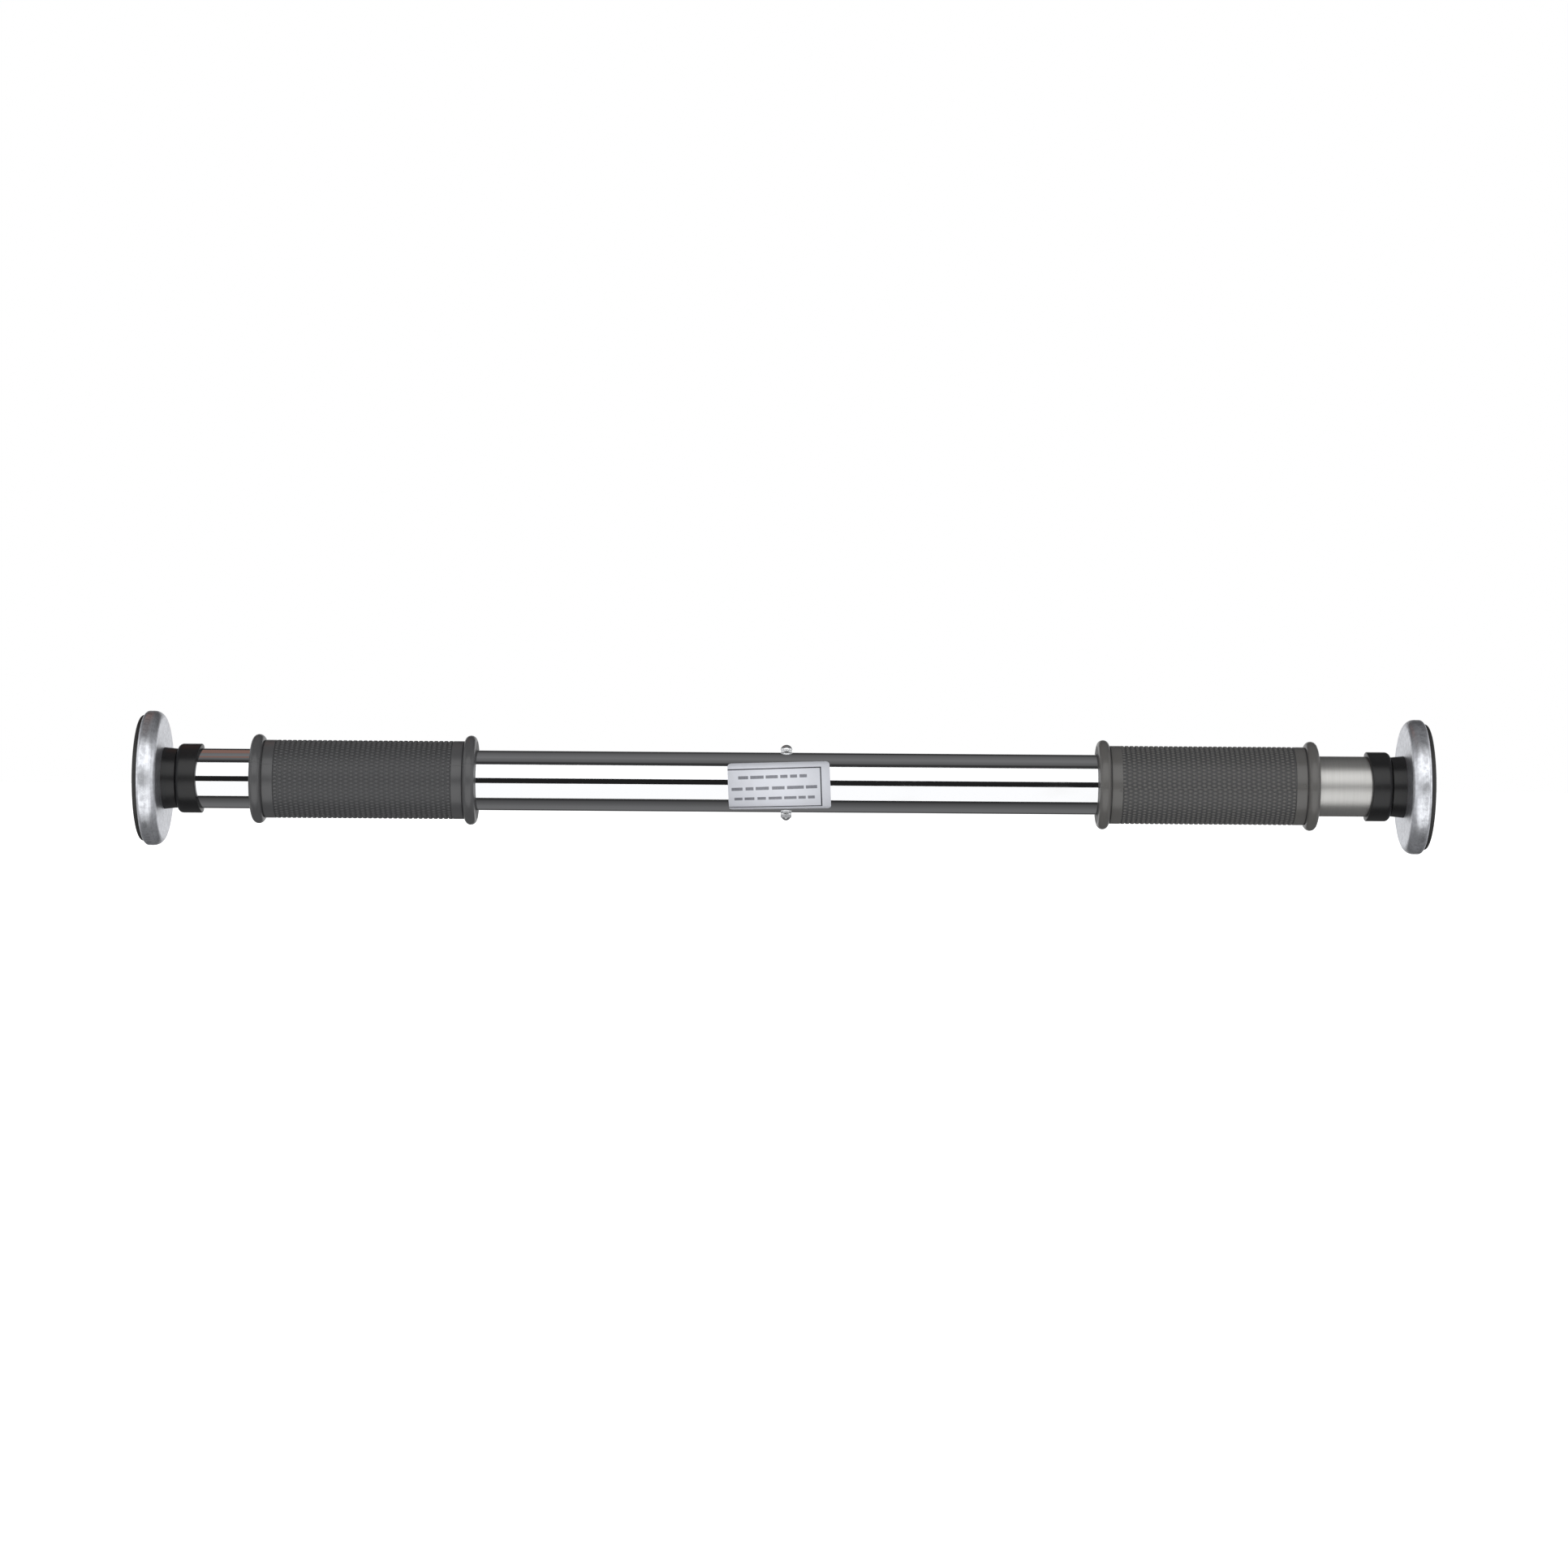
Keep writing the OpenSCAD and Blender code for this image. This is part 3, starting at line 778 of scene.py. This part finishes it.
def makeBolt(x, seat):
    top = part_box("centre_bolt")[1].z / mm
    corners = [(-seat, 0, 0), (-seat, bolt["shank"], 0), (seat, bolt["shank"], 0), (seat, bolt["head"], 0.2)]
    corners += dome(seat + bolt["side"], top, bolt["head"])
    bm = lathe(corners, bolt["segments"], closed=False, segments=3)
    upright(bm, x)
    slot = bmesh.new()
    bmesh.ops.create_cube(slot, size=1)
    bmesh.ops.scale(slot, vec=(10, bolt["slotWidth"], 2 * bolt["slotDepth"]), verts=slot.verts)
    bmesh.ops.translate(slot, vec=(x, 0, top), verts=slot.verts)
    bm = cutWith(bm, slot, "DIFFERENCE")
    finishPiece("centreBolt", bm, ["centre_bolt"], sharp=30)


def makeWashers(x, seat):
    rim, hole = bolt["washerRadius"], bolt["washerHole"]
    edge, holeEdge = bolt["washerRound"], bolt["holeEdge"]
    corners = [(bar["radius"], hole, holeEdge), (bar["radius"], rim, edge), (seat, rim, edge), (seat, hole, holeEdge)]
    washers = bmesh.new()
    for side in (1, -1):
        ring = lathe(corners, bolt["segments"], segments=4)
        upright(ring, x)
        bmesh.ops.scale(ring, vec=(1, 1, side), verts=ring.verts)
        addTo(washers, ring)
    finishPiece("boltWashers", washers, ["bolt_washers"])


def makeCapNut(x, seat):
    tip = -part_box("centre_nut")[0].z / mm
    corner = bolt["flats"] / 2 / math.cos(math.pi / 6)
    sixSided = bmesh.new()                                          # cuts the flats of the turned blank below
    bmesh.ops.create_cone(sixSided, cap_ends=True, segments=6, radius1=corner, radius2=corner, depth=tip - seat + 2)
    bmesh.ops.translate(sixSided, vec=(x, 0, -(seat + tip) / 2), verts=sixSided.verts)
    wide = bolt["nutRadius"]
    shoulder = seat + bolt["nutSide"]
    corners = [
        (seat, 0, 0), (seat, wide - 0.3, 0), (seat + 0.25, wide, 0), (shoulder - 0.5, wide, 0),
        (shoulder, bolt["nutChamfer"], 0.1),
    ]
    corners += dome(shoulder + 0.05, tip, bolt["domeRadius"])
    body = lathe(corners, bolt["segments"], closed=False, segments=3)
    upright(body, x)
    bmesh.ops.scale(body, vec=(1, 1, -1), verts=body.verts)
    finishPiece("centreNut", cutWith(body, sixSided, "INTERSECT"), ["centre_nut"], sharp=25)


def makeFasteners():
    low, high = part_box("centre_bolt")
    x = (low.x + high.x) / 2 / mm
    seat = bar["radius"] + bolt["washer"]                           # where the head and the nut press
    makeBolt(x, seat)
    makeWashers(x, seat)
    makeCapNut(x, seat)
    print("centre bolt, washers and cap nut made")


def makeSticker():
    s = sticker
    bm = bmesh.new()
    bmesh.ops.create_grid(bm, x_segments=1, y_segments=1, size=0.5)
    bmesh.ops.scale(bm, vec=(s["length"], s["height"], 1), verts=bm.verts)
    bmesh.ops.bevel(bm, geom=bm.verts[:], offset=s["corner"], offset_type="OFFSET", affect="VERTICES",
                    segments=6, profile=0.5, material=-1)           # all four corners at once
    uv = bm.loops.layers.uv.new("print")
    for face in bm.faces:
        for loop in face.loops:
            loop[uv].uv = (loop.vert.co.x / s["sheet"] + 0.5, loop.vert.co.y / s["sheet"] + 0.5)
    bmesh.ops.rotate(bm, cent=(0, 0, 0), matrix=Matrix.Rotation(math.radians(s["skew"]), 3, "Z"), verts=bm.verts)
    outer = bar["radius"] + s["thickness"]
    bmesh.ops.translate(bm, vec=(s["centreX"], math.radians(s["centreAngle"]) * outer, 0), verts=bm.verts)
    strip = fullTurn * outer / bar["steps"]                         # bends where the tube's facets meet
    count = int(s["height"] / strip)
    for i in range(-count, count + 1):
        bmesh.ops.bisect_plane(bm, geom=everything(bm), dist=1e-5, plane_co=(0, i * strip, 0), plane_no=(0, 1, 0))
    for vert in bm.verts:                                           # wrapped round the front of the tube
        turn = vert.co.y / outer
        vert.co = Vector((vert.co.x, -outer * math.cos(turn), outer * math.sin(turn)))
    piece = finishPiece("sticker", bm, ["label"], weighted=False)
    wall = piece.modifiers.new("film", "SOLIDIFY")
    wall.thickness = (s["thickness"] - s["glue"]) * mm
    wall.offset = -1
    print("label made")


screw = {"lead": 4.0, "depth": 2.2, "crest": 1.3, "root": 1.1, "perTurn": 36, "clear": 0.15}
nut = {"flange": 2.0, "step": 1.5, "flangeEdge": 0.3, "bodyEdge": 0.5, "steps": 96}


def threadedRod(x0, x1, crest, depth):
    # right-hand trapezoidal thread, swept as one helix and cut off square at both ends
    s = screw
    flank = (s["lead"] - s["crest"] - s["root"]) / 2
    turns = int((x1 - x0) / s["lead"]) + 3
    start = x0 - 1.5 * s["lead"]
    marks = [(0, crest - depth), (s["root"], crest - depth), (s["root"] + flank, crest),
             (s["root"] + flank + s["crest"], crest), (s["lead"], crest - depth)]
    bm = bmesh.new()
    verts = [bm.verts.new((start + x, 0, radius)) for x, radius in marks]
    for pair in zip(verts, verts[1:]):
        bm.edges.new(pair)
    bmesh.ops.spin(bm, geom=everything(bm), cent=(0, 0, 0), axis=(1, 0, 0), dvec=(s["lead"] / s["perTurn"], 0, 0),
                   angle=fullTurn * turns, steps=s["perTurn"] * turns, use_merge=False, use_duplicate=False)
    bmesh.ops.remove_doubles(bm, verts=bm.verts, dist=0.001)
    for x, way in ((x0, -1), (x1, 1)):
        bmesh.ops.bisect_plane(bm, geom=everything(bm), dist=1e-4, plane_co=(x, 0, 0), plane_no=(way, 0, 0),
                               clear_outer=True)
        edges = [e for e in bm.edges if e.is_boundary and all(abs(v.co.x - x) < 1e-3 for v in e.verts)]
        bmesh.ops.contextual_create(bm, geom=edges)
    return bm


def makeSpindle():
    x0, x1 = along("spindle")
    radius = radiusOf("spindle")
    rod = threadedRod(x0, x1, radius, screw["depth"])
    finishPiece("screwSpindle", rod, ["spindle"], sharp=30, weighted=False)
    x0, x1 = along("spindle_nut")
    rim = radiusOf("spindle_nut")
    flangeEnd = x0 + nut["flange"]
    body = rim - nut["step"]
    corners = [
        (x0, 0, 0), (x0, rim, nut["flangeEdge"]), (flangeEnd, rim, 0), (flangeEnd, body, 0),
        (x1, body, nut["bodyEdge"]), (x1, 0, 0),
    ]
    blank = lathe(corners, nut["steps"], closed=False, segments=2)
    hole = threadedRod(x0 - 3, x1 + 3, radius + screw["clear"], screw["depth"])
    finishPiece("spindleNut", cutWith(blank, hole, "DIFFERENCE"), ["spindle_nut"], sharp=30, weighted=False)
    print("spindle and nut made")


def paintFrameNodes():
    # CAD nodes that stay, with this object's finishes
    for name, node in frame["nodes"].items():
        if not node.hide_render:
            for place in node.material_slots:
                place.material = finishes[slotOf[name]]


studio = {
    "floorGlow": 0.88, "floorPaint": rgb(0.86, 0.86, 0.86),
    "fill": 0.44, "length": 3.2, "distance": 1.4, "tent": 1550.0,
    # panels from one elevation to another, with their brightness
    "panels": {"frontTop": (9.2, 63.0, 1.30), "frontLow": (-10.8, -70.4, 1.14), "rear": (160.0, 200.0, 0.50)},
    "ends": 1.9, "endSize": 1.5, "endGlow": 0.7,
    # what the plated parts mirror round the bar: elevation and brightness
    "tones": [(-180, 0.34), (-165, 0.34), (-163, 0.06), (-150, 0.06), (-138, 0.19), (-115, 0.18), (-84, 0.09),
              (-78, 0.04), (-71, 0.04), (-69, 0.2), (-11.2, 0.2), (-10.6, 0.018), (9.0, 0.018), (9.6, 0.2),
              (62, 0.2), (64, 0.045), (74, 0.045), (78, 0.135), (98, 0.21), (122, 0.15), (136, 0.11),
              (142, 0.04), (159, 0.04), (162, 0.34), (180, 0.34)],
    # a brownish object beyond the left end
    "warm": {"tone": rgb(0.26, 0.155, 0.13), "start": -700.0, "end": -360.0, "bands": [(113, 140), (87, 94)]},
}


def atElevation(angle):
    # a point at the panels' distance; 0 is straight towards -Y, 90 straight up
    return Vector((0, -math.cos(math.radians(angle)), math.sin(math.radians(angle)))) * studio["distance"]


def softbox(name, low, high, glow):
    # a long panel from elevation low to high, as seen from the bar
    start, end = atElevation(low), atElevation(high)
    width = (end - start).length
    light = bpy.data.lights.new(name, "AREA")
    light.shape = "RECTANGLE"
    light.size = studio["length"]
    light.size_y = width
    light.energy = glow * math.pi * width * studio["length"]
    holder = bpy.data.objects.new(name, light)
    holder.location = (start + end) / 2
    back = ((start + end) / 2).normalized()                         # a light shines along its own -Z
    lengthways = Vector((1, 0, 0))
    holder.rotation_euler = Matrix((lengthways, back.cross(lengthways), back)).transposed().to_euler()
    holder.visible_camera = False
    bpy.context.scene.collection.objects.link(holder)


def stageMesh(name, bm, material, hidden):
    # a part of the set, hidden from some kinds of light ray
    mesh = toMesh(name, bm)
    mesh.materials.append(material)
    holder = bpy.data.objects.new(name, mesh)
    bpy.context.scene.collection.objects.link(holder)
    for kind in hidden:
        setattr(holder, "visible_" + kind, False)


def endPanel(name, side):
    # a square panel beyond one foot
    light = bpy.data.lights.new(name, "AREA")
    light.shape = "SQUARE"
    light.size = studio["endSize"]
    light.energy = studio["endGlow"] * math.pi * studio["endSize"] ** 2
    holder = bpy.data.objects.new(name, light)
    holder.location = (side * studio["ends"], 0, 0.3)
    holder.rotation_euler = (0, side * math.pi / 2, 0)
    holder.visible_camera = False
    bpy.context.scene.collection.objects.link(holder)


def makeTent():
    # a tube round the set that only reflections see: bright and dark bands by elevation
    r = Recipe("tentCloth")
    x, y, z = (part / mm for part in r.split(r.objectCoords()))
    elevation = r.add("Math", {"operation": "ARCTAN2"}, {0: z, 1: y * -1.0}) * (180 / math.pi)
    stops = [((angle + 180) / 360, rgb(tone, tone, tone * 1.02)) for angle, tone in studio["tones"]]
    glow = r.add("ValToRGB", {"stops": stops}, {0: elevation / 360.0 + 0.5})
    warm = studio["warm"]
    for low, high in warm["bands"]:
        inside = (elevation > low) * (elevation < high) * (x > warm["start"]) * (x < warm["end"])
        glow = r.blend(inside, glow, warm["tone"])
    cloth = r.surface(Base_Color=rgb(0, 0, 0), Specular_IOR_Level=0.0, Emission_Color=glow, Emission_Strength=1.0)
    half = studio["length"] / mm / 2
    tent = lathe([(-half, studio["tent"], 0), (half, studio["tent"], 0)], 72, closed=False)
    bmesh.ops.scale(tent, vec=(mm, mm, mm), verts=tent.verts)
    stageMesh("tent", tent, cloth, ("camera", "diffuse", "shadow", "transmission"))


def makeStudio():
    ground = bmesh.new()
    bmesh.ops.create_grid(ground, x_segments=1, y_segments=1, size=30)
    bmesh.ops.translate(ground, vec=(0, 0, cadBounds[0][2] - 0.0002), verts=ground.verts)
    paint = Recipe("floorPaint").surface(
        Base_Color=studio["floorPaint"],
        Roughness=0.9,
        Specular_IOR_Level=0.1,
        Emission_Color=rgb(1, 1, 1),
        Emission_Strength=studio["floorGlow"],
    )
    stageMesh("floor", ground, paint, ("glossy", "shadow", "diffuse"))
    for name, (low, high, glow) in studio["panels"].items():
        softbox(name, low, high, glow)
    endPanel("leftEnd", -1)
    endPanel("rightEnd", 1)
    makeTent()
    world = bpy.data.worlds.new("studio")
    bpy.context.scene.world = world
    world.use_nodes = True
    tree = world.node_tree
    tree.nodes.clear()
    path = tree.nodes.new("ShaderNodeLightPath")
    shown = tree.nodes.new("ShaderNodeBackground")
    shown.inputs["Color"].default_value = rgb(1, 1, 1)
    lit = tree.nodes.new("ShaderNodeBackground")
    lit.inputs["Color"].default_value = rgb(studio["fill"], studio["fill"], studio["fill"] * 1.02)
    mix = tree.nodes.new("ShaderNodeMixShader")
    out = tree.nodes.new("ShaderNodeOutputWorld")
    tree.links.new(path.outputs["Is Camera Ray"], mix.inputs[0])
    tree.links.new(lit.outputs[0], mix.inputs[1])
    tree.links.new(shown.outputs[0], mix.inputs[2])
    tree.links.new(mix.outputs[0], out.inputs[0])
    bpy.context.scene.view_settings.view_transform = "Standard"


def makeCamera():
    view = {"distance": 2.0, "lens": 86.34, "film": 36, "drop": 0.0008, "roll": 0.42}
    camera = bpy.data.cameras.new("camera")
    camera.lens = view["lens"]
    camera.sensor_width = view["film"]
    camera.clip_end = 100
    holder = bpy.data.objects.new("camera", camera)
    holder.location = (0, -view["distance"], -view["drop"])
    holder.rotation_euler = (math.radians(90), math.radians(-view["roll"]), 0)
    bpy.context.scene.collection.objects.link(holder)
    bpy.context.scene.camera = holder


makeTubes()
makeGrips()
makeFeet()
makeFasteners()
makeSticker()
makeSpindle()
paintFrameNodes()
makeStudio()
makeCamera()
print("studio and camera set")
